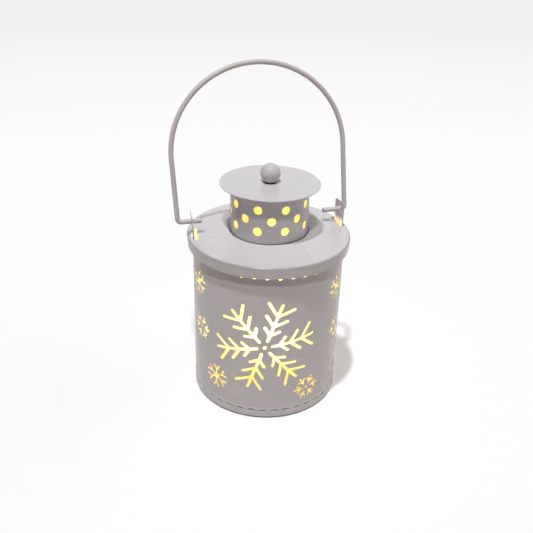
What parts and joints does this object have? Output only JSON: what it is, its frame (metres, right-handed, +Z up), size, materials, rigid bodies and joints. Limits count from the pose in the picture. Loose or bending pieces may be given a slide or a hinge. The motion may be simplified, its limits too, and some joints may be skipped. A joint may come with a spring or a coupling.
{
  "type": "lantern",
  "caption": "Small round punched tin lantern with snowflake cut-outs, a dotted chimney with a flat cap and ball knob, a wire bail and a battery candle lit inside.",
  "frame": {"origin": "middle of the flat underside that the lantern stands on", "axes": "+Z up along the axis of the body, +X along the bail's pivot to the lantern's right, -Y to the front"},
  "size_m": [0.0886, 0.0804, 0.1662],
  "materials": {
    "painted_tin": "satin lilac grey paint",
    "painted_wire": "satin lilac grey paint",
    "zinc_steel": "zinc plated",
    "film": "frosted translucent film",
    "foam": "foam tape",
    "candle_plastic": "ivory, satin",
    "case_plastic": "white, fine grain",
    "flame_plastic": "frosted translucent",
    "lamp_resin": "clear warm resin",
    "cell_steel": "nickel plated",
    "spring_brass": "rolled strip",
    "switch_plastic": "black, satin"
  },
  "bodies": {
    "lantern": {"body_shell": "painted_tin", "base_pan": "painted_tin", "diffuser_film": "film", "mounting_pad": "foam", "candle_cup": "candle_plastic", "candle_base": "case_plastic", "base_screw_right": "zinc_steel", "base_screw_left": "zinc_steel", "flame_tip": "flame_plastic", "led_lamp": "lamp_resin", "top_lead": "zinc_steel", "side_lead": "zinc_steel", "coin_cell": "cell_steel", "contact_top": "spring_brass", "contact_side": "spring_brass"},
    "lid": {"lid_shell": "painted_tin", "chimney_band": "painted_tin", "chimney_film": "film", "chimney_cap": "painted_tin", "knob_ball": "painted_wire", "knob_washer": "zinc_steel", "knob_screw": "zinc_steel"},
    "bail": {"bail_handle": "painted_wire"},
    "door": {"battery_door": "case_plastic"},
    "switch": {"switch_knob": "switch_plastic"}
  },
  "joints": [
    {"name": "lid_lift", "type": "slide", "parent": "lantern", "child": "lid", "axis": [0, 0, 1], "range_m": [0, 0.004]},
    {"name": "bail_swing", "type": "hinge", "parent": "lantern", "child": "bail", "pos_m": [0, 0.0035, 0.09365], "axis": [1, 0, 0], "range_deg": [-86, 104]},
    {"name": "battery_twist", "type": "hinge", "parent": "lantern", "child": "door", "pos_m": [0, -0.0035, 0.0022], "axis": [0, 0, 1], "range_deg": [0, 50]},
    {"name": "switch_slide", "type": "slide", "parent": "lantern", "child": "switch", "axis": [1, 0, 0], "range_m": [-0.002, 0.002]}
  ]
}
